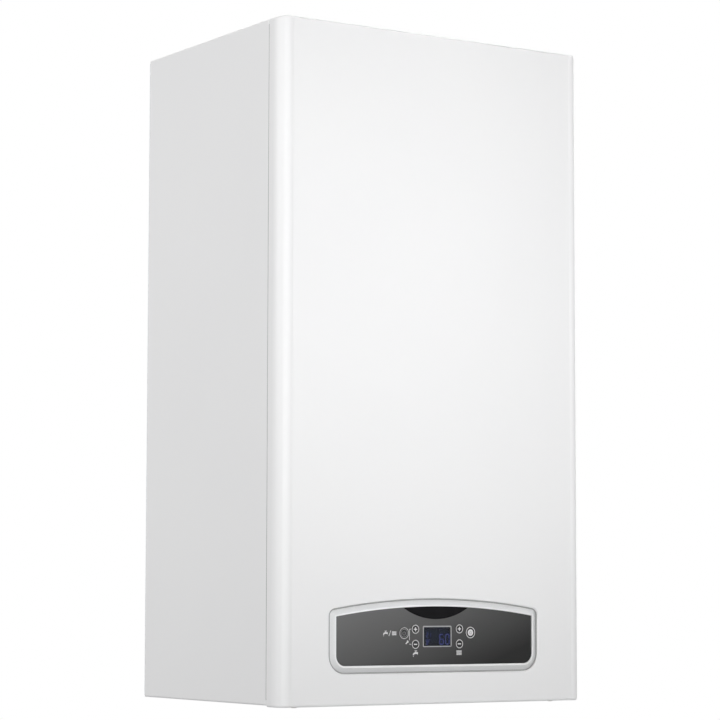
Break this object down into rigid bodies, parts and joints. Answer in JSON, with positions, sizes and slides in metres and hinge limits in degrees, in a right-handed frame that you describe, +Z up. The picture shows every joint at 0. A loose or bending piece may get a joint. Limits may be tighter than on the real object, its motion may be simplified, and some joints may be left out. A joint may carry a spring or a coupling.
{
  "type": "wall-hung gas boiler",
  "caption": "Wall-hung room-sealed combination gas boiler: white sheet casing, tilting control box with display and push buttons, pipe connections below, flue collar on top.",
  "frame": {"origin": "on the wall plane, midway between the two hanging holes", "axes": "+X to the viewer's right, +Y into the wall, +Z up"},
  "size_m": [0.4, 0.3008, 0.762],
  "materials": {
    "white_paint": "satin white powder coat",
    "galvanised_sheet": "galvanised",
    "zinc_steel": "zinc plated",
    "stainless_steel": "brushed",
    "cast_aluminium": "bare",
    "black_plastic": "fine grain",
    "grey_plastic": "fine grain",
    "silver_plastic": "silver paint",
    "fascia_plastic": "dark grey film",
    "black_gloss": "gloss",
    "button_plastic": "satin",
    "reset_plastic": "satin",
    "display_glass": "clear",
    "board_laminate": "solder mask",
    "seal_rubber": "foam",
    "ceramic_fibre": "ceramic fibre board",
    "ceramic_white": "glazed",
    "copper": "bare copper",
    "brass": "bare",
    "red_paint": "satin red enamel",
    "cast_iron": "black enamel",
    "white_plastic": "satin",
    "wheel_steel": "galvanised",
    "red_plastic": "satin",
    "blue_plastic": "satin"
  },
  "bodies": {
    "frame": {"side_panel_left": "white_paint", "side_panel_right": "white_paint", "rear_frame": "galvanised_sheet", "top_plate": "galvanised_sheet", "bottom_plate": "galvanised_sheet", "casing_catches": "galvanised_sheet", "hinge_brackets": "galvanised_sheet", "chamber_body": "galvanised_sheet", "chamber_cover": "galvanised_sheet", "flue_hood": "galvanised_sheet", "sheet_screws": "zinc_steel", "hinge_pins": "zinc_steel", "burner_tray": "stainless_steel", "burner_ramps": "stainless_steel", "plate_exchanger": "stainless_steel", "combustion_chamber": "stainless_steel", "flue_collar": "cast_aluminium", "fan_housing": "cast_aluminium", "gas_valve": "cast_aluminium", "gas_manifold": "cast_aluminium", "air_intake_caps": "black_plastic", "cable_gland": "black_plastic", "diverter_actuator": "black_plastic", "pressure_switch": "black_plastic", "chamber_seal": "seal_rubber", "insulation_boards": "ceramic_fibre", "electrodes": "ceramic_white", "heat_exchanger": "copper", "gas_pipes": "copper", "heating_pipes": "copper", "vessel_pipe": "copper", "connection_stubs": "brass", "flow_block": "brass", "return_block": "brass", "expansion_vessel": "red_paint", "pump_body": "cast_iron", "fan_motor": "cast_iron", "pump_motor": "cast_iron", "pressure_gauge": "white_plastic"},
    "casing": {"front_casing": "white_paint"},
    "fan_rotor": {"fan_wheel": "wheel_steel"},
    "pump_rotor": {"pump_impeller": "white_plastic"},
    "valve_knob": {"safety_valve_knob": "red_plastic"},
    "needle": {"gauge_needle": "red_plastic"},
    "tap": {"filling_tap": "blue_plastic"},
    "control": {"control_housing": "grey_plastic", "control_cover": "grey_plastic", "control_bezel": "silver_plastic", "control_fascia": "fascia_plastic", "badge_lens": "black_gloss", "display_window": "display_glass", "display_board": "board_laminate", "main_board": "board_laminate", "control_screws": "zinc_steel"},
    "button_water_up": {"button_water_up": "button_plastic"},
    "button_water_down": {"button_water_down": "button_plastic"},
    "button_heating_up": {"button_heating_up": "button_plastic"},
    "button_heating_down": {"button_heating_down": "button_plastic"},
    "button_mode": {"button_mode": "button_plastic"},
    "button_reset": {"button_reset": "reset_plastic"}
  },
  "joints": [
    {"name": "casing_slide", "type": "slide", "parent": "frame", "child": "casing", "axis": [0, -1, 0], "range_m": [0, 0.42]},
    {"name": "control_tilt", "type": "hinge", "parent": "frame", "child": "control", "pos_m": [0, -0.285, -0.676], "axis": [1, 0, 0], "range_deg": [0, 75]},
    {"name": "fan_spin", "type": "hinge", "parent": "frame", "child": "fan_rotor", "pos_m": [-0.047, -0.15459, -0.04718], "axis": [0, 1, 0], "continuous": true},
    {"name": "pump_spin", "type": "hinge", "parent": "frame", "child": "pump_rotor", "pos_m": [0.13, -0.107, -0.55], "axis": [0, 1, 0], "continuous": true},
    {"name": "valve_knob_turn", "type": "hinge", "parent": "frame", "child": "valve_knob", "pos_m": [0.075, -0.1283, -0.62], "axis": [0, 1, 0], "range_deg": [0, 90]},
    {"name": "needle_turn", "type": "hinge", "parent": "frame", "child": "needle", "pos_m": [-0.105, -0.185, -0.6634], "axis": [0, 0, 1], "range_deg": [0, 270]},
    {"name": "tap_turn", "type": "hinge", "parent": "frame", "child": "tap", "pos_m": [0.0975, -0.06, -0.66], "axis": [0, 0, 1], "range_deg": [0, 90]},
    {"name": "press_water_up", "type": "slide", "parent": "control", "child": "button_water_up", "axis": [0, 1, 0], "range_m": [0, 0.0008], "stiffness_N_per_m": 500},
    {"name": "press_water_down", "type": "slide", "parent": "control", "child": "button_water_down", "axis": [0, 1, 0], "range_m": [0, 0.0008], "stiffness_N_per_m": 500},
    {"name": "press_heating_up", "type": "slide", "parent": "control", "child": "button_heating_up", "axis": [0, 1, 0], "range_m": [0, 0.0008], "stiffness_N_per_m": 500},
    {"name": "press_heating_down", "type": "slide", "parent": "control", "child": "button_heating_down", "axis": [0, 1, 0], "range_m": [0, 0.0008], "stiffness_N_per_m": 500},
    {"name": "press_mode", "type": "slide", "parent": "control", "child": "button_mode", "axis": [0, 1, 0], "range_m": [0, 0.0008], "stiffness_N_per_m": 500},
    {"name": "press_reset", "type": "slide", "parent": "control", "child": "button_reset", "axis": [0, 1, 0], "range_m": [0, 0.0008], "stiffness_N_per_m": 500}
  ],
  "couplings": [
    {"joint": "control_tilt", "follows": "casing_slide", "rad_per_m": 3.1}
  ]
}
